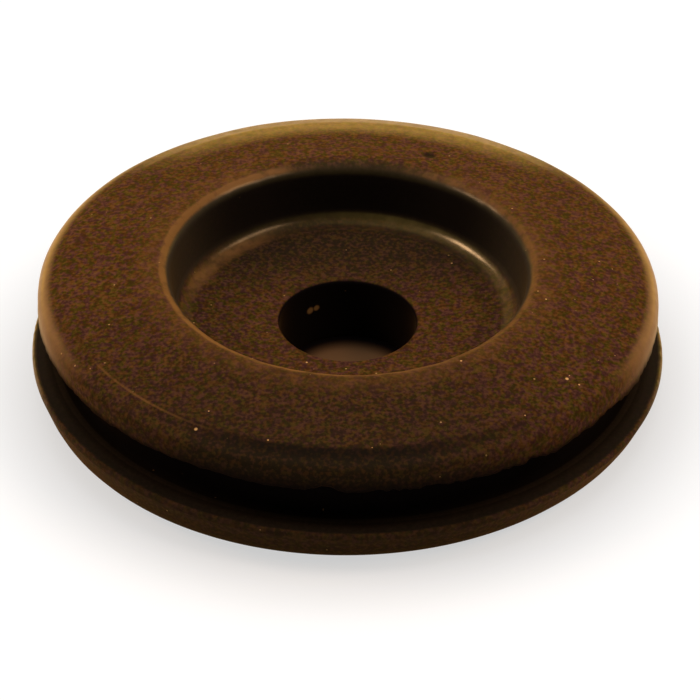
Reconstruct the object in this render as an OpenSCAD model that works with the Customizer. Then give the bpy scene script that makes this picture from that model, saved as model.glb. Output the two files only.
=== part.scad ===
// A rubber panel grommet, moulded in one piece. Two flanges stand out from a
// round body, with a groove between them that grips the edge of a panel. The
// top has a round recess, and a straight hole for a cable goes through its floor.
// Lengths are in millimetres. The origin is the centre of the base and +Z is
// the axis of the hole, out of the recess.

/* [Panel groove] */
// Diameter at the bottom of the groove, which is the size of the panel's hole
groove_d = 44.4; // [36:0.2:60]
// Width of the groove, which takes the thickness of the panel
groove_w = 3.7; // [1.5:0.1:6]
// Fillet in the two corners at the bottom of the groove
groove_fillet = 0.4; // [0.1:0.1:0.7]

/* [Lower flange] */
// How far the lower flange stands out beyond the groove
lower_reach = 2.8; // [1:0.1:6]
// Height of the lower flange, from the base to the groove
lower_h = 3.9; // [3.2:0.1:6]
// Height of the upright band around its widest part
lower_band_h = 0.5; // [0.4:0.1:1]
// Rounding of the top edge of that band
lower_edge_round = 0.2; // [0.1:0.05:0.3]
// How much the side leans in from the band to the base
side_lean = 1.2; // [0.1:0.1:1.6]
// Large rounding of the edge that it stands on, which leads into the panel's hole
base_round = 2.6; // [0.5:0.1:3]

/* [Upper flange] */
// How far the upper flange stands out beyond the groove
upper_reach = 2.2; // [1:0.1:6]
// Height of its rim, from the groove to the shoulder
rim_h = 1.8; // [1.2:0.1:4]
// Rounding of the shoulder at the top of the rim
shoulder_round = 1; // [0.3:0.1:1.2]
// Rounding of the sharp edge at the bottom of the rim
upper_edge_round = 0.25; // [0.1:0.05:0.4]
// Width of the outer band, from the rim to the faint ridge
band_w = 2; // [1.4:0.1:4]
// Rise of the outer band, from the shoulder to the ridge
band_rise = 0.7; // [0.2:0.05:1.2]
// Rise of the coned top, from the ridge to the lip of the recess
crown_rise = 1.1; // [0.2:0.1:3]

/* [Recess] */
// Diameter of the recess at its mouth
mouth_d = 28.2; // [22:0.2:36]
// Width of the level lip around the mouth, before the top starts to fall away
lip_w = 1.4; // [1.2:0.1:2.5]
// Rounding of the lip around the mouth
lip_round = 1.1; // [0.3:0.1:1.2]
// Depth of the recess, from the lip to the edge of its floor
recess_depth = 4.9; // [3.5:0.1:7]
// How much the wall leans in between the mouth and the floor
wall_lean = 0.6; // [0:0.1:1.5]
// Fillet between the wall of the recess and its floor
floor_fillet = 1.2; // [0.3:0.1:1.5]
// How much the floor falls from its edge to the hole
floor_dish = 0.5; // [0:0.05:0.8]

/* [Cable hole] */
// Diameter of the straight hole through the floor
hole_d = 10.8; // [4:0.2:16]
// Rounding of the upper edge of the hole
hole_round = 0.3; // [0.1:0.05:0.5]

/* [Hidden] */

// Facets around the axis
$fn = 128;
// Greatest turn of the outline between two points of a rounded corner
arc_step = 15;

// Radii
groove_r = groove_d / 2;
lower_r = groove_r + lower_reach;
upper_r = groove_r + upper_reach;
ridge_r = upper_r - band_w;
mouth_r = mouth_d / 2;
floor_r = mouth_r - wall_lean;
hole_r = hole_d / 2;

// Heights above the base
upper_z = lower_h + groove_w;
shoulder_z = upper_z + rim_h;
ridge_z = shoulder_z + band_rise;
lip_z = ridge_z + crown_rise;
floor_z = lip_z - recess_depth;

// Direction from one point of the outline to another, of length one
function heading(from, to) = (to - from) / norm(to - from);

// A point turned about the origin
function turned(p, angle) =
    [p[0] * cos(angle) - p[1] * sin(angle), p[0] * sin(angle) + p[1] * cos(angle)];

// The points that stand in for corner b, between a and c, when it is rounded to
// the radius r. The arc starts and ends where it touches the two sides.
function rounded(a, b, c, r) =
    let (
        before = heading(b, a),
        after = heading(b, c),
        half = acos(before * after) / 2,
        middle = b + heading([0, 0], before + after) * r / sin(half),
        first = b + before * r / tan(half) - middle,
        turn = sign(cross(-before, after)) * (180 - 2 * half),
        steps = ceil(abs(turn) / arc_step)
    )
    [for (i = [0 : steps]) middle + turned(first, turn * i / steps)];

// An outline from its corners, each given as a point and a rounding
function outline(corners) =
    let (n = len(corners))
    [for (i = [0 : n - 1])
        let (b = corners[i][0], r = corners[i][1])
        each r == 0
            ? [b]
            : rounded(corners[(i + n - 1) % n][0], b, corners[(i + 1) % n][0], r)];

// Half section of the grommet, anticlockwise from the foot of the hole
function half_section() = outline([
    [[hole_r, 0], 0],
    [[lower_r - side_lean, 0], base_round],
    [[lower_r, lower_h - lower_band_h], 0],
    [[lower_r, lower_h], lower_edge_round],
    [[groove_r, lower_h], groove_fillet],
    [[groove_r, upper_z], groove_fillet],
    [[upper_r, upper_z], upper_edge_round],
    [[upper_r, shoulder_z], shoulder_round],
    [[ridge_r, ridge_z], 0],
    [[mouth_r + lip_w, lip_z], 0],
    [[mouth_r, lip_z], lip_round],
    [[floor_r, floor_z], floor_fillet],
    [[hole_r, floor_z - floor_dish], hole_round]
]);

module grommet() {
    color([0.25, 0.16, 0.08])
        rotate_extrude()
            polygon(half_section());
}

grommet();
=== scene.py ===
"""Looks of a moulded rubber panel grommet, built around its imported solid.

The grommet is one piece of black rubber that has gone warm and dusty. Its skin is a closed
surface of revolution, worked out on a grid of rings and angles from the same half section as
the solid, and then moved by the small faults of a moulding: a ragged flash under the upper
flange, fine lines on the lower one, a slight lean of the top and a mark left by the mould.
"""

import logging
import math
from dataclasses import dataclass, fields
from enum import Enum

import bpy
import numpy as np
from mathutils import Matrix, Vector

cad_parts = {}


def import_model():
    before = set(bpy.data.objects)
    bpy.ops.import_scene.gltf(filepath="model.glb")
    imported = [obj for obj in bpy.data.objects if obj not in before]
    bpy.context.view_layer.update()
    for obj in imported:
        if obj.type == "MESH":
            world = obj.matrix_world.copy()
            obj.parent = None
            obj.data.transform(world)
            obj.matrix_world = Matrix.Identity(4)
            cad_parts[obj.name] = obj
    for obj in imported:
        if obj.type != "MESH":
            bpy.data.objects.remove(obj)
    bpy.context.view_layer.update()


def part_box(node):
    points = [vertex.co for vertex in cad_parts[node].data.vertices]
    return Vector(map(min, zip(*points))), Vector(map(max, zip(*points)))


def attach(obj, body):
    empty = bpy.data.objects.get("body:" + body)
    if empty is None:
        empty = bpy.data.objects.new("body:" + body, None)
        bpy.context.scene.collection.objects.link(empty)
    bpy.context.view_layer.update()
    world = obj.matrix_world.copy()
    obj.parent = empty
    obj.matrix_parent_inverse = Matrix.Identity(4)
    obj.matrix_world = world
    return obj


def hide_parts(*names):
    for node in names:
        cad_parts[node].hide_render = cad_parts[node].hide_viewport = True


LOG = logging.getLogger("grommet")
MM = 0.001
TURN = 2 * math.pi
NODE = "grommet"
BODY = "root"
SECTION = "section"
WHITE = (1, 1, 1, 1)
Colour = tuple[float, float, float, float]
Socket = bpy.types.NodeSocket


class Spacing(Enum):
    """Distance between two rings of the skin along a side of the half section, in metres."""

    FINE = 0.18 * MM
    PLAIN = 0.32 * MM
    COARSE = 0.7 * MM
    HIDDEN = 2.2 * MM


@dataclass(frozen=True)
class Corner:
    """A corner of the half section.

    Args:
        radius: distance from the axis, in metres.
        height: height above the base, in metres.
        rounding: radius of the arc that replaces the corner, in metres.
        spacing: ring spacing on the side that follows the corner.
    """

    radius: float
    height: float
    rounding: float
    spacing: Spacing


@dataclass(frozen=True)
class Sizes:
    """The solid's sizes, in metres. The outer radius and the height come from the frame.

    Args:
        outer: radius of the lower flange.
        height: whole height.
        groove: radius of the bottom of the groove.
        groove_width: width of the groove.
        groove_fillet: fillet in the corners at the bottom of the groove.
        lower_height: height of the lower flange.
        lower_band: height of the upright band at its top.
        lower_edge: rounding of the top edge of that band.
        lower_foot: rounding of the lower edge of that band.
        side_lean: how much the side leans in below that band.
        base_round: rounding down to the base.
        upper: radius of the upper flange.
        upper_edge: rounding of its sharp lower edge.
        rim_height: height of its rim.
        shoulder_round: rounding of the shoulder above the rim.
        band_width: width of the outer band of the top.
        band_rise: rise of that band, up to the ridge.
        ridge_round: rounding of the ridge.
        mouth: radius of the mouth of the recess.
        lip_width: width of the level lip around the mouth.
        lip_outside: rounding of the outer edge of the lip.
        lip_round: rounding of its edge at the mouth.
        recess_depth: depth of the recess.
        wall_lean: how much its wall leans in.
        floor_fillet: fillet between its wall and its floor.
        floor_dish: how much the floor falls towards the hole.
        hole: radius of the hole.
        hole_round: rounding of the upper edge of the hole.
        hole_foot: rounding of its lower edge.
    """

    outer: float
    height: float
    groove: float = 22.2 * MM
    groove_width: float = 3.7 * MM
    groove_fillet: float = 0.4 * MM
    lower_height: float = 3.9 * MM
    lower_band: float = 0.5 * MM
    lower_edge: float = 0.2 * MM
    lower_foot: float = 0.1 * MM
    side_lean: float = 1.2 * MM
    base_round: float = 2.6 * MM
    upper: float = 24.4 * MM
    upper_edge: float = 0.25 * MM
    rim_height: float = 1.8 * MM
    shoulder_round: float = 1.0 * MM
    band_width: float = 2.0 * MM
    band_rise: float = 0.7 * MM
    ridge_round: float = 0.5 * MM
    mouth: float = 14.1 * MM
    lip_width: float = 1.4 * MM
    lip_outside: float = 1.5 * MM
    lip_round: float = 1.1 * MM
    recess_depth: float = 4.9 * MM
    wall_lean: float = 0.6 * MM
    floor_fillet: float = 1.2 * MM
    floor_dish: float = 0.5 * MM
    hole: float = 5.4 * MM
    hole_round: float = 0.3 * MM
    hole_foot: float = 0.15 * MM

    @property
    def upper_low(self) -> float:
        """Height of the sharp lower edge of the upper flange."""
        return self.lower_height + self.groove_width

    @property
    def shoulder(self) -> float:
        """Height of the shoulder at the top of the rim."""
        return self.upper_low + self.rim_height

    @property
    def ridge(self) -> tuple[float, float]:
        """Radius and height of the faint ridge on the top."""
        return self.upper - self.band_width, self.shoulder + self.band_rise

    @property
    def floor(self) -> float:
        """Height of the edge of the recess's floor."""
        return self.height - self.recess_depth

    def in_millimetres(self) -> "Sizes":
        """The same sizes in millimetres."""
        return Sizes(**{size.name: getattr(self, size.name) / MM for size in fields(self)})

    def corners(self) -> list[Corner]:
        """Lists the corners of the half section.

        Returns:
            The corners, anticlockwise from the foot of the hole.
        """
        ridge_radius, ridge_height = self.ridge
        fine, plain, coarse, hidden = Spacing.FINE, Spacing.PLAIN, Spacing.COARSE, Spacing.HIDDEN
        return [
            Corner(self.hole, 0, self.hole_foot, hidden),
            Corner(self.outer - self.side_lean, 0, self.base_round, plain),
            Corner(self.outer, self.lower_height - self.lower_band, self.lower_foot, fine),
            Corner(self.outer, self.lower_height, self.lower_edge, plain),
            Corner(self.groove, self.lower_height, self.groove_fillet, coarse),
            Corner(self.groove, self.upper_low, self.groove_fillet, coarse),
            Corner(self.upper, self.upper_low, self.upper_edge, plain),
            Corner(self.upper, self.shoulder, self.shoulder_round, plain),
            Corner(ridge_radius, ridge_height, self.ridge_round, plain),
            Corner(self.mouth + self.lip_width, self.height, self.lip_outside, plain),
            Corner(self.mouth, self.height, self.lip_round, coarse),
            Corner(self.mouth - self.wall_lean, self.floor, self.floor_fillet, plain),
            Corner(self.hole, self.floor - self.floor_dish, self.hole_round, coarse),
        ]


def half_section(corners: list[Corner], arc_step: float = math.radians(14)) -> np.ndarray:
    """Points of the closed half section, with every corner rounded by an arc.

    The arc of radius r at a corner has its centre on the bisector of the two sides, r / sin(half
    angle) from the corner, and it is stepped in equal turns. Straight sides are cut into steps
    of about the spacing of the corner they leave.

    Args:
        corners: the corners in order.
        arc_step: greatest turn between two points of an arc, in radians.

    Returns:
        Array of shape (rings, 2) with radius and height, in metres.
    """
    arcs = []
    for index, corner in enumerate(corners):
        here = np.array([corner.radius, corner.height])
        sides = []
        for other in (corners[index - 1], corners[(index + 1) % len(corners)]):
            side = np.array([other.radius, other.height]) - here
            sides.append(side / np.linalg.norm(side))
        half = math.acos(float(np.clip(sides[0] @ sides[1], -1, 1))) / 2
        bisector = (sides[0] + sides[1]) / np.linalg.norm(sides[0] + sides[1])
        centre = here + bisector * corner.rounding / math.sin(half)
        first = here + sides[0] * corner.rounding / math.tan(half) - centre
        last = here + sides[1] * corner.rounding / math.tan(half) - centre
        turn = math.atan2(first[0] * last[1] - first[1] * last[0], float(first @ last))
        angles = np.linspace(0, turn, max(2, math.ceil(abs(turn) / arc_step) + 1))
        cos, sin = np.cos(angles), np.sin(angles)
        turned = [first[0] * cos - first[1] * sin, first[0] * sin + first[1] * cos]
        arcs.append(centre + np.stack(turned, axis=1))
    points = []
    for index, (corner, arc) in enumerate(zip(corners, arcs)):
        points.append(arc)
        start, end = arc[-1], arcs[(index + 1) % len(arcs)][0]
        count = max(1, round(float(np.linalg.norm(end - start)) / corner.spacing.value))
        steps = np.linspace(0, 1, count + 1)[1:-1, None]
        points.append(start + (end - start) * steps)
    return np.vstack(points)


def ripple(angles: np.ndarray, low: int, high: int, fall: float, seed: int) -> np.ndarray:
    """Smooth random curve round a circle, between about -1 and 1.

    It is the sum over whole numbers k from low to high of sin(k angle + phase) / k^fall, with
    random phases, divided by its greatest value.

    Args:
        angles: angles in radians.
        low: lowest number of waves in a turn.
        high: highest number of waves in a turn.
        fall: how fast the waves shrink as they get shorter.
        seed: seed of the random phases.

    Returns:
        Array like angles.
    """
    waves = np.arange(low, high + 1)
    phases = np.random.default_rng(seed).uniform(0, TURN, len(waves))
    total = (np.sin(waves * angles[:, None] + phases) / waves**fall).sum(axis=1)
    return total / np.abs(total).max()


@dataclass(frozen=True)
class Hump:
    """A smooth hump at one place round a circle.

    Args:
        centre: angle of its top, in degrees.
        width: turn from there at which it has fallen to about a third, in degrees.
        height: its greatest value.
    """

    centre: float
    width: float
    height: float


def humps(angles: np.ndarray, shapes: tuple[Hump, ...]) -> np.ndarray:
    """Sum of humps round a circle, each its height times exp(-(distance / width)^2).

    Args:
        angles: angles in radians.
        shapes: the humps.

    Returns:
        Array like angles.
    """
    total = np.zeros_like(angles)
    for hump in shapes:
        away = (np.degrees(angles) - hump.centre + 180) % 360 - 180
        total += hump.height * np.exp(-((away / hump.width) ** 2))
    return total


@dataclass(frozen=True)
class Lean:
    """The lopsided stand of the grommet, whose lower flange is thicker on its left side.

    Everything above the lower flange turns about the Y axis through the middle of the flange's
    top, so that the left side rises, and sinks by as much as its highest point would rise.

    Args:
        pivot: height of the lower flange's top, in metres.
        reach: radius of the highest part of the grommet, in metres.
        degrees: angle of the turn.
    """

    pivot: float
    reach: float
    degrees: float = 1.4

    @property
    def sine(self) -> float:
        """Sine of the angle."""
        return math.sin(math.radians(self.degrees))

    @property
    def drop(self) -> float:
        """How far the top sinks, so that it stays below its level height."""
        return self.reach * self.sine

    def matrix(self) -> Matrix:
        """Works out the same movement for an object, such as the camera that looks at the top.

        Returns:
            A turn about the pivot, and then the drop.
        """
        turn = Matrix.Rotation(math.radians(self.degrees), 4, "Y")
        up = Matrix.Translation((0, 0, self.pivot))
        return Matrix.Translation((0, 0, -self.drop)) @ up @ turn @ up.inverted()

    def apply(self, points: np.ndarray) -> np.ndarray:
        """Moves points of the grommet.

        X grows by the height above the pivot times the sine. Z falls by X times the sine plus
        the drop, times a share that grows from 0 at the base to 1 at the pivot's height.

        Args:
            points: array whose last axis is X, Y and Z, in metres.

        Returns:
            Array like points.
        """
        share = np.clip(points[..., 2] / self.pivot, 0, 1)
        moved = points.copy()
        moved[..., 0] += np.clip(points[..., 2] - self.pivot, 0, None) * self.sine
        moved[..., 2] -= share * (points[..., 0] * self.sine + self.drop)
        return moved


@dataclass(frozen=True)
class Relief:
    """Size of a small fault of the moulding, in metres.

    Args:
        rise: how far it stands out, or how deep it is.
        reach: distance from its edge at which it has fallen to about a third.
    """

    rise: float
    reach: float


@dataclass
class GrommetSkin:
    """The rubber body: a surface of revolution with the small faults of its moulding.

    Args:
        sizes: sizes of the solid.
        lean: lopsided stand of the grommet.
        turns: number of angles in a full turn.
        flash: the ragged flash, at its deepest.
        flash_least: share of the flash that is left all round.
        flash_splay: how far the flash spreads outwards, as a share of its depth.
        flash_full: where the flash is deepest.
        flash_torn: where it was torn off.
        bead: the bead along the ridge of the top.
        bead_least: share of the bead that is there all round.
        bead_full: where the bead is clearest.
        fray: frayed top edge of the lower flange.
        line: groove beside that edge.
        line_inset: distance of the groove from that edge, in metres.
        welt: bead beside the groove.
        welt_inset: distance of the welt from that edge, in metres.
        lip_wave: waves of the lip of the recess.
        nick: depth of the nicks in the lip, in metres.
        nicked: where the nicks are.
        rim_wave: unevenness of the shoulder of the upper flange.
        pip_place: x and y of the mark that the mould left, in metres.
        pip_radius: radius of that mark, in metres.
        pip_depth: depth of that mark, in metres.
        pip_rim: height of the raised ring around it, in metres.
    """

    sizes: Sizes
    lean: Lean
    turns: int = 600
    flash: Relief = Relief(0.42 * MM, 0.34 * MM)
    flash_least: float = 0.35
    flash_splay: float = 0.3
    flash_full: tuple[Hump, ...] = (Hump(-50, 40, 0.65), Hump(185, 16, 0.4))
    flash_torn: tuple[Hump, ...] = (Hump(-93.5, 1.9, 1.1), Hump(-36, 2.5, 0.8))
    bead: Relief = Relief(0.07 * MM, 0.3 * MM)
    bead_least: float = 0.15
    bead_full: tuple[Hump, ...] = (Hump(-138, 22, 0.65),)
    fray: Relief = Relief(0.07 * MM, 0.25 * MM)
    line: Relief = Relief(0.12 * MM, 0.15 * MM)
    line_inset: float = 0.42 * MM
    welt: Relief = Relief(0.06 * MM, 0.13 * MM)
    welt_inset: float = 0.8 * MM
    lip_wave: Relief = Relief(0.05 * MM, 0.9 * MM)
    nick: float = 0.13 * MM
    nicked: tuple[Hump, ...] = (Hump(197, 1.4, 1.0), Hump(208, 1.2, 0.8), Hump(-29, 1.3, 0.5))
    rim_wave: Relief = Relief(0.05 * MM, 1.2 * MM)
    pip_place: tuple[float, float] = (6.5 * MM, 16.4 * MM)
    pip_radius: float = 0.62 * MM
    pip_depth: float = 0.16 * MM
    pip_rim: float = 0.08 * MM

    def grid(self) -> tuple[np.ndarray, np.ndarray, np.ndarray]:
        """Grid of the skin before its faults.

        Returns:
            The angles of a turn, and the radius and height of every point, each of shape
            (rings, turns).
        """
        section = half_section(self.sizes.corners())
        angles = np.arange(self.turns) * TURN / self.turns
        radius = np.repeat(section[:, :1], self.turns, axis=1)
        height = np.repeat(section[:, 1:], self.turns, axis=1)
        return angles, radius, height

    @staticmethod
    def near_edge(
        radius: np.ndarray, height: np.ndarray, edge: tuple[float, float], reach: float
    ) -> np.ndarray:
        """Weight that falls as exp(-(distance / reach)^2) away from an edge of the section."""
        distance = np.hypot(radius - edge[0], height - edge[1])
        return np.exp(-((distance / reach) ** 2))

    def add_flash(self, angles: np.ndarray, radius: np.ndarray, height: np.ndarray) -> None:
        """Pulls the lower edge of the upper flange down and out into a ragged flash.

        The pull is the flash depth times a share that is greatest on the right near side, times
        one half plus two ripples, and it dies away within a fraction of a millimetre of the
        edge. Where the flash was torn off, the edge is a little higher instead.

        Args:
            angles: angles of a turn, in radians.
            radius: radii of the grid, which are changed.
            height: heights of the grid, which are changed.
        """
        share = self.flash_least + humps(angles, self.flash_full)
        tongues = ripple(angles, low=7, high=40, fall=0.2, seed=11)
        teeth = ripple(angles, low=40, high=200, fall=0.3, seed=3)
        rag = np.clip(0.5 + 0.5 * (tongues + teeth), 0, None)
        pull = self.flash.rise * (share * rag - humps(angles, self.flash_torn))
        weight = self.near_edge(radius, height, (self.sizes.upper, self.sizes.upper_low), self.flash.reach)
        radius += self.flash_splay * weight * np.clip(pull, 0, None)
        height -= weight * pull

    def add_bead(self, angles: np.ndarray, radius: np.ndarray, height: np.ndarray) -> None:
        """Raises a low bead along the ridge of the top, clearest on the left near side.

        Args:
            angles: angles of a turn, in radians.
            radius: radii of the grid.
            height: heights of the grid, which are changed.
        """
        uneven = 1 + ripple(angles, low=3, high=24, fall=0.5, seed=8)
        share = self.bead_least * uneven + humps(angles, self.bead_full)
        height += self.bead.rise * share * self.near_edge(radius, height, self.sizes.ridge, self.bead.reach)

    def add_flange_lines(self, angles: np.ndarray, radius: np.ndarray, height: np.ndarray) -> None:
        """Frays the top edge of the lower flange and cuts a fine groove and a welt beside it.

        Args:
            angles: angles of a turn, in radians.
            radius: radii of the grid, which are changed.
            height: heights of the grid, which are changed.
        """
        edge, level = self.sizes.outer, self.sizes.lower_height
        uneven = 0.8 + 0.2 * ripple(angles, low=5, high=60, fall=0.7, seed=5)
        frayed = 1 + ripple(angles, low=60, high=190, fall=0.2, seed=14)
        radius -= self.fray.rise * frayed * self.near_edge(radius, height, (edge, level), self.fray.reach)
        line = self.near_edge(radius, height, (edge - self.line_inset, level), self.line.reach)
        welt = self.near_edge(radius, height, (edge - self.welt_inset, level), self.welt.reach)
        height += (self.welt.rise * welt - self.line.rise * line) * uneven

    def add_pip(self, angles: np.ndarray, radius: np.ndarray, height: np.ndarray) -> None:
        """Presses in the small round mark that the mould left on the far side of the top.

        With the distance from its middle as a share of its radius, the mark is a flat pit,
        exp(-distance^4), inside a ring that is raised by exp(-((distance - 1.15) / 0.3)^2).

        Args:
            angles: angles of a turn, in radians.
            radius: radii of the grid.
            height: heights of the grid, which are changed.
        """
        east, north = radius * np.cos(angles), radius * np.sin(angles)
        distance = np.hypot(east - self.pip_place[0], north - self.pip_place[1]) / self.pip_radius
        ring = self.pip_rim * np.exp(-(((distance - 1.15) / 0.3) ** 2))
        pit = self.pip_depth * np.exp(-(distance**4))
        height += (height > self.sizes.shoulder) * (ring - pit)

    def add_wear(self, angles: np.ndarray, radius: np.ndarray, height: np.ndarray) -> None:
        """Waves and nicks the lip of the recess, and makes the shoulder a little uneven.

        Args:
            angles: angles of a turn, in radians.
            radius: radii of the grid, which are changed.
            height: heights of the grid, which are changed.
        """
        waves = 1 + ripple(angles, low=5, high=60, fall=0.5, seed=2)
        depth = self.lip_wave.rise * waves + self.nick * humps(angles, self.nicked)
        lip = (self.sizes.mouth, self.sizes.height)
        height -= depth * self.near_edge(radius, height, lip, self.lip_wave.reach)
        uneven = 1 + ripple(angles, low=2, high=30, fall=0.8, seed=21)
        shoulder = (self.sizes.upper, self.sizes.shoulder)
        radius -= self.rim_wave.rise * uneven * self.near_edge(radius, height, shoulder, self.rim_wave.reach)

    def build(self) -> bpy.types.Object:
        """Makes the mesh object of the skin.

        Each vertex also keeps its radius and height before the faults and the lean, in
        millimetres, in the attribute that the finish reads.

        Returns:
            The object, at the origin, with its faces pointing outwards.
        """
        angles, radius, height = self.grid()
        section = np.stack([radius, height, np.zeros_like(radius)], axis=2) / MM
        for add in (self.add_flash, self.add_bead, self.add_flange_lines, self.add_pip, self.add_wear):
            add(angles, radius, height)
        points = np.stack([radius * np.cos(angles), radius * np.sin(angles), height], axis=2)
        piece = surface_object("grommet_skin", self.lean.apply(points))
        attribute = piece.data.attributes.new(SECTION, "FLOAT_VECTOR", "POINT")
        attribute.data.foreach_set("vector", section.reshape(-1).astype(np.float32))
        return piece

    def dress(self, piece: bpy.types.Object) -> None:
        """Gives the skin its finish."""
        piece.data.materials.append(RubberFinish(self.sizes.in_millimetres()).material())


def surface_object(name: str, points: np.ndarray) -> bpy.types.Object:
    """Puts a grid that is closed both ways into a smooth mesh of four-sided faces.

    Face (i, j) joins grid point (i, j) to (i, j + 1), (i + 1, j + 1) and (i + 1, j), and both
    indexes start again at zero after the last.

    Args:
        name: name of the object and its mesh.
        points: array of shape (rings, turns, 3), in metres.

    Returns:
        The new object, linked to the scene.
    """
    rings, turns = points.shape[:2]
    index = np.arange(rings * turns).reshape(rings, turns)
    right, below = np.roll(index, -1, axis=1), np.roll(index, -1, axis=0)
    across = np.roll(below, -1, axis=1)
    faces = np.stack([index, right, across, below], axis=2).reshape(-1, 4)
    mesh = bpy.data.meshes.new(name)
    mesh.vertices.add(rings * turns)
    mesh.vertices.foreach_set("co", points.reshape(-1).astype(np.float32))
    mesh.loops.add(faces.size)
    mesh.loops.foreach_set("vertex_index", faces.reshape(-1).astype(np.int32))
    mesh.polygons.add(len(faces))
    mesh.polygons.foreach_set("loop_start", np.arange(0, faces.size, 4, dtype=np.int32))
    mesh.polygons.foreach_set("use_smooth", np.ones(len(faces), dtype=bool))
    mesh.update(calc_edges=True)
    mesh.validate()
    piece = bpy.data.objects.new(name, mesh)
    bpy.context.scene.collection.objects.link(piece)
    return piece


class Value:
    """A socket that takes part in Python expressions, each of which adds a Math node."""

    def __init__(self, nodes: "Nodes", socket: Socket) -> None:
        """Wraps an output socket of the node tree that nodes fills."""
        self.nodes = nodes
        self.socket = socket

    def _math(self, operation: str, *operands: "Value | float") -> "Value":
        """Result of a new Math node on values or numbers."""
        inputs = dict(enumerate(operands))
        return self.nodes.value("ShaderNodeMath", {"operation": operation}, inputs)

    def __add__(self, other: "Value | float") -> "Value":
        """Sum."""
        return self._math("ADD", self, other)

    __radd__ = __add__

    def __mul__(self, other: "Value | float") -> "Value":
        """Product."""
        return self._math("MULTIPLY", self, other)

    __rmul__ = __mul__

    def __sub__(self, other: "Value | float") -> "Value":
        """Difference."""
        return self._math("SUBTRACT", self, other)

    def __rsub__(self, other: float) -> "Value":
        """Difference from a number."""
        return self._math("SUBTRACT", other, self)

    def __truediv__(self, other: "Value | float") -> "Value":
        """Quotient."""
        return self._math("DIVIDE", self, other)

    def at_least(self, other: "Value | float") -> "Value":
        """The larger of the two."""
        return self._math("MAXIMUM", self, other)

    def rise(self, low: float, high: float) -> "Value":
        """Smooth step between two numbers, s times s times (3 - 2 s), where s grows evenly.

        Args:
            low: where it is 0.
            high: where it is 1, which may be less than low.

        Returns:
            Value between 0 and 1.
        """
        settings = {"interpolation_type": "SMOOTHSTEP"}
        inputs = {"Value": self, "From Min": low, "From Max": high, "To Min": 0.0, "To Max": 1.0}
        return self.nodes.value("ShaderNodeMapRange", settings, inputs)


class Nodes:
    """The node tree of one material or sky, filled by one method."""

    def __init__(self, owner: bpy.types.Material | bpy.types.World) -> None:
        """Empties the node tree of a material or sky.

        Args:
            owner: the material or sky.
        """
        owner.use_nodes = True
        self.tree = owner.node_tree
        self.tree.nodes.clear()

    def add(self, kind: str, settings: dict | None = None, inputs: dict | None = None) -> bpy.types.Node:
        """Adds a node.

        Args:
            kind: type of the node.
            settings: attributes of the node, set before its sockets.
            inputs: socket name or index to a number, colour, vector, Value or socket.

        Returns:
            The new node.
        """
        node = self.tree.nodes.new(kind)
        for key, value in (settings or {}).items():
            setattr(node, key, value)
        for key, value in (inputs or {}).items():
            if isinstance(value, Value):
                value = value.socket
            if isinstance(value, Socket):
                self.tree.links.new(value, node.inputs[key])
            else:
                node.inputs[key].default_value = value
        return node

    def value(self, kind: str, settings: dict, inputs: dict, output: str | int = 0) -> Value:
        """Adds a node and wraps one of its outputs."""
        return Value(self, self.add(kind, settings, inputs).outputs[output])

    def noise(self, vector: Socket, size: float, detail: float = 2.0, rough: float = 0.5) -> Value:
        """Noise between 0 and 1 whose patches are about size metres across."""
        inputs = {"Vector": vector, "Scale": 1 / size, "Detail": detail, "Roughness": rough}
        return self.value("ShaderNodeTexNoise", {}, inputs)

    def blend(self, factor: Value, first: Socket | Colour, second: Socket | Colour) -> Socket:
        """Colour between first, at factor 0, and second, at factor 1."""
        node = self.add("ShaderNodeMix", {"data_type": "RGBA"}, {0: factor, 6: first, 7: second})
        return node.outputs[2]


@dataclass(frozen=True)
class Spot:
    """The spot of the rubber that is being coloured.

    Args:
        place: Object coordinates, in metres.
        radius: distance from the axis before the lean, in millimetres.
        height: height above the base before the lean, in millimetres.
        east: distance to the right of the axis, in millimetres.
        north: distance behind the axis, in millimetres.
    """

    place: Socket
    radius: Value
    height: Value
    east: Value
    north: Value

    @classmethod
    def read(cls, nodes: Nodes) -> "Spot":
        """Adds the nodes that read the spot.

        Args:
            nodes: node tree of the material.

        Returns:
            The spot.
        """
        place = nodes.add("ShaderNodeTexCoord").outputs["Object"]
        stored = nodes.add("ShaderNodeAttribute", {"attribute_name": SECTION}).outputs["Vector"]
        section = nodes.add("ShaderNodeSeparateXYZ", {}, {"Vector": stored}).outputs
        sides = nodes.add("ShaderNodeSeparateXYZ", {}, {"Vector": place}).outputs
        return cls(
            place=place,
            radius=Value(nodes, section["X"]),
            height=Value(nodes, section["Y"]),
            east=Value(nodes, sides["X"]) / MM,
            north=Value(nodes, sides["Y"]) / MM,
        )


@dataclass(frozen=True)
class Grain:
    """Noises that break up the finish, each between 0 and 1.

    Args:
        pores: pores of the rubber.
        mottle: spots of about a millimetre.
        patches: areas of several millimetres.
        shade: pores and spots together.
    """

    pores: Value
    mottle: Value
    patches: Value
    shade: Value

    @classmethod
    def read(cls, nodes: Nodes, place: Socket) -> "Grain":
        """Adds the noises.

        Args:
            nodes: node tree of the material.
            place: Object coordinates, in metres.

        Returns:
            The grain.
        """
        pores = nodes.noise(place, 0.30 * MM)
        mottle = nodes.noise(place, 1.1 * MM, detail=4, rough=0.6)
        patches = nodes.noise(place, 6 * MM, detail=3)
        return cls(pores, mottle, patches, pores * 0.7 + mottle * 0.3)


@dataclass(frozen=True)
class Speck:
    """A grain of dust or a small mark on the rubber.

    Args:
        x: place along X, in millimetres.
        y: place along Y, in millimetres.
        z: place along Z, in millimetres.
        size: radius, in millimetres.
    """

    x: float
    y: float
    z: float
    size: float


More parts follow.
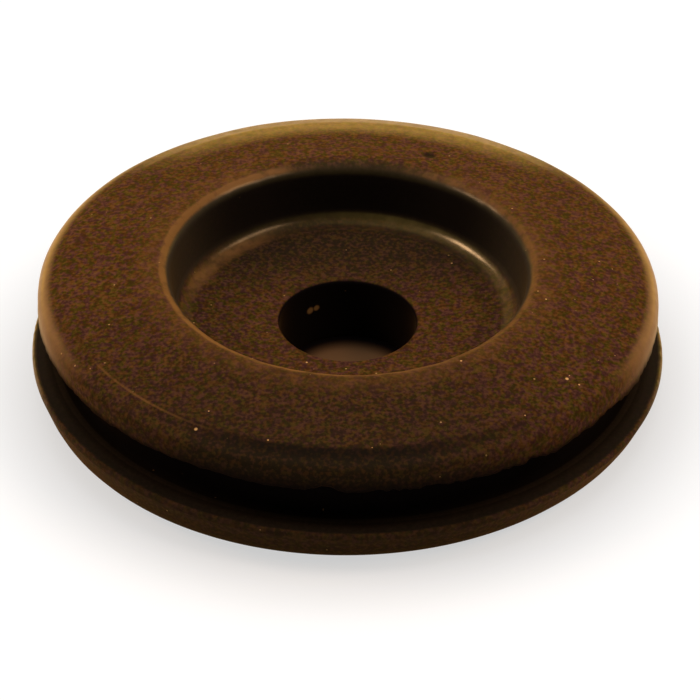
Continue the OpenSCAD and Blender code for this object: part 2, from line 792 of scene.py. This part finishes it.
@dataclass(frozen=True)
class Shares:
    """How far each trace of age, painted shade and painted highlight goes where it is
    strongest, from 0 to 1.

    Each field is named for its place and its trace, and the comments group them.
    """

    # Colours of the bloom itself
    olive: float = 0.95
    plum: float = 0.90
    deep: float = 0.62
    # share of random worn spots in the bloom, whose paler colour also paints the highlights
    worn_and_highlight: float = 0.25
    worn_patches: float = 0.60

    # Painted shade that turns the rubber black: what the far side adds has far in its name
    ledge_black_shade: float = 0.50
    line_with_less_shade: float = 0.35
    wall_black_shade: float = 0.10
    far_wall_black_shade: float = 0.72
    ridge_black_shade: float = 0.55
    foot_black_shade: float = 0.80

    # Painted shade that darkens the rubber: what the right side keeps has right in its name
    near_shade: float = 0.66
    right_near_shade: float = 0.35
    rim_shade: float = 0.95
    right_rim_shade: float = 0.35
    floor_shade: float = 0.22
    far_floor_shade: float = 0.62
    far_lip_shade: float = 0.70

    # Painted grey shade, and a greyer side of the lower flange
    side_grey: float = 0.35
    ledge_grey_shade: float = 0.85
    wall_grey_shade: float = 0.90

    # Painted highlights, in paler rubber
    lip_highlight: float = 0.22
    right_crest_highlight: float = 0.50
    near_lip_highlight: float = 0.20
    ridge_highlight: float = 0.42
    rim_highlight: float = 0.90
    fillet_highlight: float = 0.50
    shoulder_highlight: float = 0.80

    # Polish
    lip_polish: float = 0.08
    far_lip_polish: float = 0.14
    fillet_polish: float = 0.30
    right_fillet_polish: float = 0.70
    rim_polish: float = 0.90

    # Marks, dust, and painted glints in the hole
    pip: float = 0.85
    crumbs: float = 0.50
    hole_glints: float = 0.30
    dust_in_black_shade: float = 0.80

    # Roughness that is added to the bloom's
    mottle_roughness: float = 0.30
    dust_roughness: float = 0.20
    black_shade_roughness: float = 0.35

    # Relief of the grain
    pore_relief: float = 0.60
    mottle_relief: float = 0.80
    relief: float = 0.40


@dataclass(frozen=True)
class RubberFinish:
    """Old black rubber with a brown bloom, on which shade is painted darker and black, and
    highlights are painted paler.

    Distances in its methods are millimetres from an edge of the grommet that they name.

    Args:
        sizes: sizes of the grommet, in millimetres, which place the traces of age, the painted
        shade and the painted highlights.
        shares: how far each of them goes.
        bloom: main colour of the bloom.
        olive: its greener spots.
        plum: its redder spots.
        worn_and_highlight: paler rubber, in random worn spots of the bloom and as painted
        highlights on the lip, the ridge, the sides of the rim and the fillet.
        pale: painted highlight on the left and right of the shoulder.
        deep: pores and dents.
        dark: painted shade on the near side, the near rim, the recess's floor and the far lip, and
        the mark of the mould.
        grey: dim grey for painted shade on the lower flange's ledge and the recess's wall, and for
        a greyer side of the lower flange.
        black: painted shade in the groove, the hole, the recess's far wall and under the near rim.
        dust_and_glint: grains of dust, and the painted glints on the wall of the hole.
        roughness: roughness of the bloom.
        grain_depth: depth of the grain of the surface, in metres.
        crumb_cell: distance between the finest crumbs of dust, in metres.
        flatness: factor on heights in the distance from a grain of dust.
        pip: the dark mark that the mould left.
        hole_glints: painted glints on the wall of the hole, in the colour of the dust.
        specks: the larger grains of dust.
    """

    sizes: Sizes
    shares: Shares = Shares()
    bloom: Colour = (0.086, 0.0350, 0.0085, 1)
    olive: Colour = (0.052, 0.0470, 0.0035, 1)
    plum: Colour = (0.076, 0.0265, 0.0360, 1)
    worn_and_highlight: Colour = (0.180, 0.092, 0.034, 1)
    pale: Colour = (0.300, 0.180, 0.100, 1)
    deep: Colour = (0.021, 0.0100, 0.0060, 1)
    dark: Colour = (0.0145, 0.0120, 0.0085, 1)
    grey: Colour = (0.034, 0.033, 0.031, 1)
    black: Colour = (0.0038, 0.0034, 0.0050, 1)
    dust_and_glint: Colour = (0.70, 0.46, 0.22, 1)
    roughness: float = 0.55
    grain_depth: float = 0.03 * MM
    crumb_cell: float = 1.2 * MM
    flatness: float = 0.4
    pip: Speck = Speck(6.6, 16.35, 10.2, 0.80)
    hole_glints: tuple[Speck, ...] = (Speck(-3.05, 4.46, 3.2, 0.40), Speck(-2.55, 4.76, 3.25, 0.34))
    specks: tuple[Speck, ...] = (
        Speck(-11.0, -20.1, 9.7, 0.17),
        Speck(-10.1, -18.4, 10.1, 0.09),
        Speck(-5.6, -21.6, 9.8, 0.10),
        Speck(-3.1, -5.9, 5.6, 0.10),
        Speck(8.8, -12.7, 10.6, 0.11),
        Speck(13.5, -18.0, 9.3, 0.09),
        Speck(16.8, -13.5, 9.4, 0.17),
        Speck(17.0, -13.1, 9.4, 0.07),
        Speck(17.7, -14.0, 9.2, 0.10),
        Speck(18.1, -13.6, 9.1, 0.07),
        Speck(19.3, -10.9, 9.2, 0.07),
        Speck(19.5, -11.9, 9.0, 0.07),
        Speck(20.6, -10.0, 9.0, 0.07),
        Speck(15.5, -4.3, 10.4, 0.09),
        Speck(14.9, -3.3, 10.5, 0.07),
        Speck(2.1, -22.3, 9.6, 0.07),
        Speck(2.7, -21.9, 9.6, 0.07),
        Speck(19.9, 1.9, 9.6, 0.07),
        Speck(20.9, 1.1, 9.4, 0.07),
        Speck(19.3, -0.8, 9.7, 0.07),
        Speck(21.2, -0.9, 9.3, 0.07),
        Speck(-1.6, -22.2, 3.8, 0.08),
    )

    def groove_black_shade(self, spot: Spot) -> Value:
        """How far the panel groove is painted black, as painted shade.

        Args:
            spot: the spot that is coloured.

        Returns:
            1 in the groove, and less on the ledge of the lower flange, with a fine line of less shade.
        """
        low, high, edge = self.sizes.lower_height, self.sizes.upper_low, self.sizes.outer
        radius, height, shares = spot.radius, spot.height, self.shares
        line = radius.rise(edge - 2.1, edge - 1.9) * radius.rise(edge - 1.4, edge - 1.6)
        inner = radius.rise(edge - 0.9, edge - 2.0) * (1 - shares.ledge_black_shade)
        ledge = shares.ledge_black_shade + inner - line * shares.line_with_less_shade
        ledge = ledge * radius.rise(edge - 0.05, edge - 0.45)
        above = height.rise(low + 0.2, low + 0.4)
        between = height.rise(low - 0.06, low - 0.01) * height.rise(high + 0.6, high + 0.05)
        outside = radius.rise(self.sizes.groove - 1.0, self.sizes.groove - 0.5)
        return between * outside * ledge.at_least(above)

    def wall_black_shade(self, spot: Spot) -> Value:
        """How far the recess's wall is painted black, as painted shade.

        Args:
            spot: the spot that is coloured.

        Returns:
            Value that is greatest on the far wall.
        """
        sizes, shares = self.sizes, self.shares
        wall = spot.height.rise(sizes.floor + 0.10, sizes.floor + 0.40)
        wall = wall * spot.height.rise(sizes.height - 0.25, sizes.height - 0.65)
        wall = wall * spot.radius.rise(sizes.mouth + 0.55, sizes.mouth + 0.2)
        far = spot.north.rise(4.0, 11.0)
        return wall * (shares.wall_black_shade + far * shares.far_wall_black_shade)

    def near_rim_black_shade(self, spot: Spot) -> Value:
        """How far the near rim is painted black, as painted shade, just outside the ridge and at
        its lower edge.

        Args:
            spot: the spot that is coloured.

        Returns:
            Value that is 0 away from the near side.
        """
        ridge, edge, high = self.sizes.ridge[0], self.sizes.outer, self.sizes.upper_low
        under = spot.radius.rise(ridge - 0.3, ridge + 0.2) * spot.radius.rise(ridge + 1.5, ridge + 0.5)
        foot = spot.height.rise(high + 1.2, high + 0.1) * spot.height.rise(high - 0.3, high)
        foot = foot * spot.radius.rise(edge - 1.3, edge - 1.0)
        near = spot.north.rise(-16.0, -23.0)
        return (under * self.shares.ridge_black_shade).at_least(foot * self.shares.foot_black_shade) * near

    def black_shade(self, spot: Spot) -> Value:
        """How far a spot is painted black as painted shade, where the rubber is also duller.

        Args:
            spot: the spot that is coloured.

        Returns:
            The strongest of all painted black shades, with 1 in the hole.
        """
        hole = spot.radius.rise(self.sizes.hole + 0.2, self.sizes.hole + 0.05)
        groove_and_wall_black_shade = self.groove_black_shade(spot).at_least(self.wall_black_shade(spot))
        return groove_and_wall_black_shade.at_least(hole).at_least(self.near_rim_black_shade(spot))

    def darkening_shade(self, spot: Spot) -> Value:
        """How far painted shade darkens the rubber.

        Args:
            spot: the spot that is coloured.

        Returns:
            Value that is greatest on the near rim, the near side and the far floor of the recess.
        """
        sizes, shares, radius, north, east = self.sizes, self.shares, spot.radius, spot.north, spot.east
        ridge, high, within = sizes.ridge[0], sizes.upper_low, sizes.mouth - 0.5
        near = shares.near_shade - east.rise(8.0, 18.0) * shares.right_near_shade
        near = near * north.rise(0.0, -24.0)
        rim = radius.rise(ridge - 0.4, ridge + 0.3) * spot.height.rise(high - 0.3, high)
        rim = rim * (shares.rim_shade - east.rise(2.0, 14.0) * shares.right_rim_shade)
        rim = rim * north.rise(-16.0, -23.0)
        recess = shares.floor_shade + north.rise(1.0, 10.0) * shares.far_floor_shade
        recess = recess * radius.rise(within, within - 0.5)
        lip = radius.rise(within + 2.2, within + 0.6) * north.rise(11.5, 14.0) * shares.far_lip_shade
        return near.at_least(rim).at_least(recess).at_least(lip)

    def grey_shade(self, spot: Spot) -> Value:
        """How far the rubber is painted dim grey: painted shade on the ledge of the lower flange and
        on the recess's wall, and a greyer side of the lower flange.

        Args:
            spot: the spot that is coloured.

        Returns:
            Value that is 0 away from the lower flange and the recess's wall.
        """
        sizes, shares, radius, height = self.sizes, self.shares, spot.radius, spot.height
        low, edge, within = sizes.lower_height, sizes.outer, sizes.mouth - 0.5
        side = height.rise(low + 0.1, low - 0.1)
        ledge = height.rise(low - 0.25, low - 0.05) * height.rise(low + 0.8, low + 0.4)
        ledge = ledge * radius.rise(edge, edge - 0.4)
        ledge = ledge * radius.rise(sizes.hole + 1.0, sizes.hole + 2.0)
        wall = radius.rise(within + 1.1, within + 0.6) * radius.rise(within - 1.0, within - 0.3)
        wall = wall * height.rise(sizes.floor + 0.2, sizes.floor + 0.8)
        greyed = (side * shares.side_grey).at_least(ledge * shares.ledge_grey_shade)
        return greyed.at_least(wall * shares.wall_grey_shade)

    def lip_highlight(self, spot: Spot) -> Value:
        """How far the lip of the recess is painted paler, as a painted highlight.

        Args:
            spot: the spot that is coloured.

        Returns:
            Value that is greatest on the left of the lip's crest and 0 at its far side.
        """
        mouth, shares, radius = self.sizes.mouth, self.shares, spot.radius
        lip = radius.rise(mouth + 0.2, mouth + 0.8) * radius.rise(mouth + 3.4, mouth + 0.8)
        crest = radius.rise(mouth + 0.1, mouth + 0.4) * radius.rise(mouth + 1.0, mouth + 0.6)
        crest = crest * (1 - spot.east.rise(-5.0, 5.0) * shares.right_crest_highlight)
        near = 1 - spot.north.rise(-6.0, -13.0) * shares.near_lip_highlight
        return (lip * shares.lip_highlight).at_least(crest) * near * spot.north.rise(14.5, 12.5)

    def fillet_highlight(self, spot: Spot) -> Value:
        """How far the far left of the fillet of the recess is painted paler, as a painted highlight.

        Args:
            spot: the spot that is coloured.

        Returns:
            Value that is 0 away from there.
        """
        corner, floor, north = self.sizes.mouth - self.sizes.wall_lean, self.sizes.floor, spot.north
        fillet = spot.radius.rise(corner - 1.8, corner - 0.8) * spot.radius.rise(corner + 0.1, corner - 0.6)
        fillet = fillet * spot.height.rise(floor + 1.4, floor + 0.7) * self.shares.fillet_highlight
        return fillet * spot.east.rise(0.0, -6.0) * north.rise(1.0, 5.0) * north.rise(12.5, 9.0)

    def painted_highlight(self, spot: Spot) -> Value:
        """How far the rubber is painted paler, as painted highlights.

        Args:
            spot: the spot that is coloured.

        Returns:
            The strongest of the painted highlights of the lip, the ridge, the sides of the rim and
            the fillet.
        """
        sizes, shares, radius, north = self.sizes, self.shares, spot.radius, spot.north
        ridge = sizes.ridge[0]
        line = radius.rise(ridge + 0.10, ridge + 0.22) * radius.rise(ridge + 0.36, ridge + 0.26)
        line = line * north.rise(-11.0, -14.0) * spot.east.rise(-8.0, -14.0)
        rim = radius.rise(sizes.upper - 1.0, sizes.upper - 0.2)
        rim = rim * north.rise(-15.0, -5.0) * north.rise(18.0, 10.0)
        above = spot.height.rise(sizes.upper_low, sizes.shoulder)
        worn_and_highlight = self.lip_highlight(spot).at_least(line * shares.ridge_highlight).at_least(rim * shares.rim_highlight)
        return (worn_and_highlight * above).at_least(self.fillet_highlight(spot))

    def shoulder_highlight(self, spot: Spot) -> Value:
        """How far the shoulder of the rim is painted pale, as a painted highlight.

        Args:
            spot: the spot that is coloured.

        Returns:
            Value that is 0 away from the left and right sides of the shoulder.
        """
        upper, high = self.sizes.upper, self.sizes.upper_low
        shoulder = spot.radius.rise(upper - 1.2, upper - 0.2) * spot.height.rise(high + 0.2, high + 0.8)
        return shoulder * spot.north.rise(-14.0, -4.0) * spot.north.rise(15.0, 5.0) * self.shares.shoulder_highlight

    def polish(self, spot: Spot) -> Value:
        """How far handling has polished the rubber.

        Args:
            spot: the spot that is coloured.

        Returns:
            The strongest of the polish of the lip, the fillet and the rims.
        """
        sizes, shares, radius, height, north = self.sizes, self.shares, spot.radius, spot.height, spot.north
        mouth, upper, corner = sizes.mouth, sizes.upper, sizes.mouth - sizes.wall_lean
        lip = radius.rise(mouth - 0.2, mouth) * radius.rise(mouth + 1.3, mouth + 0.6)
        lip = lip * height.rise(sizes.height - 1.2, sizes.height - 0.6)
        lip = lip * (shares.lip_polish + north.rise(-4.0, 4.0) * shares.far_lip_polish)
        fillet = radius.rise(corner - 1.5, corner - 0.9) * radius.rise(corner + 0.3, corner)
        fillet = fillet * height.rise(sizes.floor + 1.2, sizes.floor + 0.7)
        fillet = fillet * (shares.fillet_polish + spot.east.rise(-5.0, 5.0) * shares.right_fillet_polish)
        far_band = radius.rise(upper - 4.9, upper - 2.4) * north.rise(13.0, 21.0)
        rim = (radius.rise(upper - 1.3, upper - 0.3) * shares.rim_polish).at_least(far_band)
        rim = rim * height.rise(sizes.upper_low + 0.05, sizes.upper_low + 0.4)
        rim = rim.at_least(radius.rise(sizes.outer - 0.4, sizes.outer - 0.1)) * north.rise(-13.0, 1.0)
        return lip.at_least(fillet).at_least(rim)

    def mark(self, nodes: Nodes, place: Socket, speck: Speck, flatness: float = 1.0) -> Value:
        """Round mark.

        Args:
            nodes: node tree of the material.
            place: coordinates, in metres, with their height times flatness.
            speck: where the mark is, and its size.
            flatness: factor on the height.

        Returns:
            1 in the middle of the mark and 0 outside it.
        """
        middle = (speck.x * MM, speck.y * MM, speck.z * flatness * MM)
        inputs = {0: place, 1: middle}
        distance = nodes.value("ShaderNodeVectorMath", {"operation": "DISTANCE"}, inputs, "Value")
        return distance.rise(speck.size * MM, speck.size * 0.4 * MM)

    def dusting(self, nodes: Nodes, place: Socket) -> Value:
        """Where grains of dust lie: the specks, and smaller crumbs in about a third of the cells.

        Args:
            nodes: node tree of the material.
            place: Object coordinates, in metres.

        Returns:
            1 in the middle of a speck and 0 on bare rubber.
        """
        squash = {0: place, 1: (1, 1, self.flatness)}
        flattened = nodes.add("ShaderNodeVectorMath", {"operation": "MULTIPLY"}, squash).outputs[0]
        cells = nodes.add(
            "ShaderNodeTexVoronoi", {"feature": "F1"}, {"Vector": place, "Scale": 1 / self.crumb_cell}
        )
        chance = nodes.value("ShaderNodeSeparateColor", {}, {"Color": cells.outputs["Color"]})
        crumbs = Value(nodes, cells.outputs["Distance"]).rise(0.08, 0.04) * chance.rise(0.66, 0.90)
        total = crumbs * self.shares.crumbs
        for speck in self.specks:
            total = total.at_least(self.mark(nodes, flattened, speck, self.flatness))
        return total

    def bloomed(self, nodes: Nodes, place: Socket, grain: Grain) -> Socket:
        """Colour of the bloom, broken up by olive, plum, dark and worn spots.

        Args:
            nodes: node tree of the material.
            place: Object coordinates, in metres.
            grain: noises of the finish.

        Returns:
            The colour.
        """
        olive = nodes.noise(place, 0.46 * MM).rise(0.43, 0.57) * self.shares.olive
        plum = nodes.noise(place, 0.52 * MM).rise(0.47, 0.58) * self.shares.plum
        deep = grain.shade.rise(0.60, 0.32) * self.shares.deep
        patchy = self.shares.worn_and_highlight + grain.patches * self.shares.worn_patches
        colour = nodes.blend(olive, self.bloom, self.olive)
        colour = nodes.blend(plum, colour, self.plum)
        colour = nodes.blend(deep, colour, self.deep)
        return nodes.blend(grain.shade.rise(0.42, 0.74) * patchy, colour, self.worn_and_highlight)

    def aged(self, nodes: Nodes, spot: Spot, grain: Grain, colour: Socket) -> Socket:
        """Bloom with its painted grey shade, painted darker shade, painted highlights and the mark
        of the mould.

        Args:
            nodes: node tree of the material.
            spot: the spot that is coloured.
            grain: noises of the finish.
            colour: colour of the bloom.

        Returns:
            The colour.
        """
        uneven = 0.82 + grain.shade.rise(0.62, 0.38) * 0.3
        patchy = grain.mottle.rise(0.28, 0.64) * 0.9 + grain.patches
        pip = self.mark(nodes, spot.place, self.pip) * self.shares.pip
        # painted shade, dim grey
        colour = nodes.blend(self.grey_shade(spot), colour, self.grey)
        # painted shade, darker
        colour = nodes.blend(self.darkening_shade(spot) * uneven, colour, self.dark)
        # painted highlights, paler
        colour = nodes.blend(self.painted_highlight(spot) * patchy, colour, self.worn_and_highlight)
        # painted highlight on the shoulder
        colour = nodes.blend(self.shoulder_highlight(spot), colour, self.pale)
        return nodes.blend(pip, colour, self.dark)

    def material(self) -> bpy.types.Material:
        """Builds the node material.

        Returns:
            The material.
        """
        finish = bpy.data.materials.new("rubber_finish")
        nodes = Nodes(finish)
        spot = Spot.read(nodes)
        grain = Grain.read(nodes, spot.place)
        # painted shade: black in the groove, the hole, the recess's far wall and the near rim, with dimmer
        # dust and duller rubber there
        shares, black_shade = self.shares, self.black_shade(spot)
        dust_and_glint = self.dusting(nodes, spot.place) * (1 - black_shade * shares.dust_in_black_shade)
        # painted glints on the wall of the hole, mixed with the dust and painted in its colour
        for hole_glint in self.hole_glints:
            dust_and_glint = dust_and_glint.at_least(self.mark(nodes, spot.place, hole_glint) * shares.hole_glints)
        colour = self.aged(nodes, spot, grain, self.bloomed(nodes, spot.place, grain))
        # painted shade, black
        colour = nodes.blend(black_shade, colour, self.black)
        colour = nodes.blend(dust_and_glint, colour, self.dust_and_glint)
        roughness = self.roughness + (grain.mottle - 0.5) * shares.mottle_roughness
        roughness = roughness + dust_and_glint * shares.dust_roughness + black_shade * shares.black_shade_roughness
        relief = grain.pores * shares.pore_relief + grain.mottle * shares.mottle_relief
        bumps = {"Height": relief, "Strength": shares.relief, "Distance": self.grain_depth}
        bump = nodes.add("ShaderNodeBump", {}, bumps)
        looks = {
            "Base Color": colour,
            "Roughness": roughness,
            "Specular IOR Level": 0.02,
            "Coat Weight": self.polish(spot) * (0.45 + grain.mottle),
            "Coat Roughness": 0.28,
            "Coat IOR": 1.8,
            "Sheen Weight": 0.06,
            "Sheen Roughness": 0.35,
            "Sheen Tint": (1.0, 0.50, 0.13, 1),
            "Normal": bump.outputs[0],
        }
        shader = nodes.add("ShaderNodeBsdfPrincipled", {}, looks)
        nodes.add("ShaderNodeOutputMaterial", {}, {"Surface": shader.outputs[0]})
        return finish


def background_seen(nodes: Nodes) -> tuple[Value, Value, Value]:
    """Adds the nodes that tell which rays see the white background.

    Args:
        nodes: node tree of a material or sky.

    Returns:
        1 for camera rays, 1 for glossy rays, and 1 for camera, glossy and transmission rays.
    """
    path = nodes.add("ShaderNodeLightPath").outputs
    camera, glossy = Value(nodes, path["Is Camera Ray"]), Value(nodes, path["Is Glossy Ray"])
    return camera, glossy, camera.at_least(glossy).at_least(Value(nodes, path["Is Transmission Ray"]))


@dataclass(frozen=True)
class FloorFinish:
    """White paper that the camera sees as white, with the shadow of what lies on it.

    Args:
        covered: radius of the part that the grommet covers, in metres.
        hole: radius of the hole through which that part shows, in metres.
        paper: colour of the paper that the camera sees, before the light that is added.
        bounce: colour with which the paper lights the grommet.
        mirrored: colour that glossy surfaces see.
        shaded: painted shade of the covered part, seen through the hole.
        black: painted shadow on the covered part, at the foot of the hole's wall and beyond.
        lift: strength of the light that is added to what is seen.
        lift_in_painted_shadow: share of it next to the grommet, where less light paints a shadow.
    """

    covered: float
    hole: float
    paper: Colour = (0.22, 0.25, 0.32, 1)
    bounce: Colour = (0.62, 0.62, 0.62, 1)
    mirrored: Colour = (0.50, 0.27, 0.04, 1)
    shaded: Colour = (0.132, 0.076, 0.043, 1)
    black: Colour = (0.004, 0.003, 0.004, 1)
    lift: float = 0.84
    lift_in_painted_shadow: float = 0.7

    def material(self) -> bpy.types.Material:
        """Builds the node material.

        Outside the grommet it is diffuse paper, with a little light added in what is seen, and less
        of it next to the grommet as painted shadow. The part that the grommet covers, which shows
        only through the hole, is painted shade: dark and warm, and black towards the hole's wall.

        Returns:
            The material.
        """
        finish = bpy.data.materials.new("floor_finish")
        nodes = Nodes(finish)
        camera, glossy, seen = background_seen(nodes)
        place = nodes.add("ShaderNodeTexCoord").outputs["Object"]
        radius = nodes.value("ShaderNodeVectorMath", {"operation": "LENGTH"}, {0: place}, "Value")
        bare = radius.rise(self.covered * 0.8, self.covered)
        clear = radius.rise(self.covered, self.covered * 1.5)
        # painted shade under the grommet, black towards the foot of the hole's wall
        colour = nodes.blend(radius.rise(self.hole * 0.6, self.hole * 0.95), self.shaded, self.black)
        colour = nodes.blend(bare, colour, nodes.blend(camera, self.bounce, self.paper))
        diffuse = nodes.add("ShaderNodeBsdfDiffuse", {}, {"Color": colour})
        # less light next to the grommet, a painted shadow
        strength = seen * bare * (self.lift_in_painted_shadow + clear * (1 - self.lift_in_painted_shadow)) * self.lift
        tint = nodes.blend(glossy, WHITE, self.mirrored)
        glow = nodes.add("ShaderNodeEmission", {}, {"Color": tint, "Strength": strength})
        both = nodes.add("ShaderNodeAddShader", {}, {0: diffuse.outputs[0], 1: glow.outputs[0]})
        nodes.add("ShaderNodeOutputMaterial", {}, {"Surface": both.outputs[0]})
        return finish


@dataclass(frozen=True)
class Lamp:
    """A soft rectangular lamp aimed at the grommet.

    Args:
        name: name of the lamp.
        azimuth: degrees from +X towards +Y.
        elevation: degrees above the floor.
        size: width and height, in metres.
        level: light on a surface that faces it, where 1 shows a colour as it is written.
        colour: colour of the light.
        mirrored: whether glossy surfaces reflect the lamp itself.
        distance: distance from the origin, in metres.
    """

    name: str
    azimuth: float
    elevation: float
    size: tuple[float, float]
    level: float
    colour: tuple[float, float, float]
    mirrored: bool = True
    distance: float = 0.55

    def build(self) -> None:
        """Makes the lamp. Its power is level times pi squared times the distance squared."""
        azimuth, elevation = math.radians(self.azimuth), math.radians(self.elevation)
        flat = math.cos(elevation)
        towards = Vector((flat * math.cos(azimuth), flat * math.sin(azimuth), math.sin(elevation)))
        data = bpy.data.lights.new(self.name, "AREA")
        data.shape = "RECTANGLE"
        data.size, data.size_y = self.size
        data.energy = self.level * math.pi**2 * self.distance**2
        data.color = self.colour
        lamp = bpy.data.objects.new(self.name, data)
        lamp.location = towards * self.distance
        lamp.rotation_euler = towards.to_track_quat("Z", "Y").to_euler()
        lamp.visible_glossy = self.mirrored
        bpy.context.scene.collection.objects.link(lamp)


@dataclass(frozen=True)
class PhotoCamera:
    """The photograph's camera.

    Args:
        target_height: level height of the point that the elevation is measured at, in metres.
        lean: lean of the grommet's top, which the camera's angles are measured from.
        elevation: degrees above the floor.
        distance: distance from that point, in metres.
        roll: turn about the line of sight, in degrees.
        aside: how far the line of sight points to the right of that point, in degrees.
        below: how far it points below that point, in degrees.
        focal: focal length in pixels of the photograph's frame.
        frame_pixels: width of that frame, in pixels.
        sensor: width of the sensor, in millimetres.
        clip: nearest distance that is seen, in metres.
    """

    target_height: float
    lean: Lean
    elevation: float = 34.5
    distance: float = 300 * MM
    roll: float = 0.97
    aside: float = 0.04
    below: float = 1.29
    focal: float = 3828.0
    frame_pixels: int = 700
    sensor: float = 36.0
    clip: float = 0.01

    def build(self) -> None:
        """Makes the camera and gives it to the scene."""
        elevation = math.radians(self.elevation)
        away = Vector((0, -math.cos(elevation), math.sin(elevation)))
        right = Vector((1, 0, 0))
        sight = -away + math.tan(math.radians(self.aside)) * right
        sight -= math.tan(math.radians(self.below)) * right.cross(-away)
        sight.normalize()
        right = sight.cross(Vector((0, 0, 1))).normalized()
        above = right.cross(sight)
        roll = math.radians(self.roll)
        side = math.cos(roll) * right + math.sin(roll) * above
        above = -math.sin(roll) * right + math.cos(roll) * above
        data = bpy.data.cameras.new("photo_camera")
        data.sensor_width = self.sensor
        data.lens = self.focal / self.frame_pixels * self.sensor
        data.clip_start = self.clip
        camera = bpy.data.objects.new("photo_camera", data)
        turn = Matrix((side, above, -sight)).transposed().to_4x4()
        place = Matrix.Translation(away * self.distance + Vector((0, 0, self.target_height)))
        camera.matrix_world = self.lean.matrix() @ place @ turn
        bpy.context.scene.collection.objects.link(camera)
        bpy.context.scene.camera = camera


@dataclass(frozen=True)
class Studio:
    """Floor, lamps and sky around the grommet.

    Args:
        covered: radius of the part of the floor that the grommet covers, in metres.
        hole: radius of the grommet's hole, in metres.
        floor_size: width of the floor, in metres.
        floor_drop: gap between the floor and the base, in metres.
        sky: strength of the light of the sky.
        sky_light: colour of that light.
        sky_mirrored: colour of the sky that glossy surfaces see.
        lamps: the lamps.
    """

    covered: float
    hole: float
    floor_size: float = 3.0
    floor_drop: float = 0.02 * MM
    sky: float = 0.06
    sky_light: Colour = (1.0, 0.82, 0.55, 1)
    sky_mirrored: Colour = (0.40, 0.27, 0.06, 1)
    lamps: tuple[Lamp, ...] = (
        Lamp("top_lamp", 90, 78, (0.5, 0.5), 0.60, (1.0, 0.92, 0.76), mirrored=False),
        Lamp("back_lamp", 90, 8, (1.6, 0.24), 0.58, (1.0, 0.58, 0.11)),
        Lamp("left_lamp", 175, 41, (0.24, 0.11), 0.40, (1.0, 0.60, 0.30)),
        Lamp("right_lamp", -10, 47, (0.32, 0.12), 0.42, (1.0, 0.60, 0.30)),
    )

    def build(self) -> None:
        """Makes the floor, the lamps and the sky, and sets plain colours."""
        self.build_floor()
        for lamp in self.lamps:
            lamp.build()
        self.build_sky()
        bpy.context.scene.view_settings.view_transform = "Standard"

    def build_floor(self) -> None:
        """Makes the floor, a square just under the base."""
        half = self.floor_size / 2
        corners = [(-half, -half, 0), (half, -half, 0), (half, half, 0), (-half, half, 0)]
        mesh = bpy.data.meshes.new("floor")
        mesh.from_pydata(corners, [], [(0, 1, 2, 3)])
        mesh.transform(Matrix.Translation((0, 0, -self.floor_drop)))
        mesh.materials.append(FloorFinish(self.covered, self.hole).material())
        floor = bpy.data.objects.new("floor", mesh)
        bpy.context.scene.collection.objects.link(floor)

    def build_sky(self) -> None:
        """Makes an even sky that lights softly, is seen as white and is mirrored in a warm tone."""
        world = bpy.data.worlds.new("sky")
        bpy.context.scene.world = world
        nodes = Nodes(world)
        _, glossy, seen = background_seen(nodes)
        tint = nodes.blend(glossy, WHITE, self.sky_mirrored)
        soft = nodes.add("ShaderNodeBackground", {}, {"Color": self.sky_light, "Strength": self.sky})
        white = nodes.add("ShaderNodeBackground", {}, {"Color": tint, "Strength": 1.0})
        mix = nodes.add("ShaderNodeMixShader", {}, {0: seen, 1: soft.outputs[0], 2: white.outputs[0]})
        nodes.add("ShaderNodeOutputWorld", {}, {"Surface": mix.outputs[0]})


def main() -> None:
    """Builds the grommet's looks around the frame."""
    logging.basicConfig(level=logging.INFO, format="%(message)s")
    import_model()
    low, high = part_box(NODE)
    sizes = Sizes(outer=(high.x - low.x) / 2, height=high.z - low.z)
    lean = Lean(pivot=sizes.lower_height, reach=sizes.mouth + sizes.lip_width)
    PhotoCamera(sizes.height, lean).build()
    Studio(covered=sizes.outer - sizes.base_round, hole=sizes.hole).build()
    grommet = GrommetSkin(sizes, lean)
    skin = grommet.build()
    grommet.dress(skin)
    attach(skin, BODY)
    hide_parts(NODE)
    LOG.info("%s: %d faces", skin.name, len(skin.data.polygons))


if __name__ == "__main__":
    main()
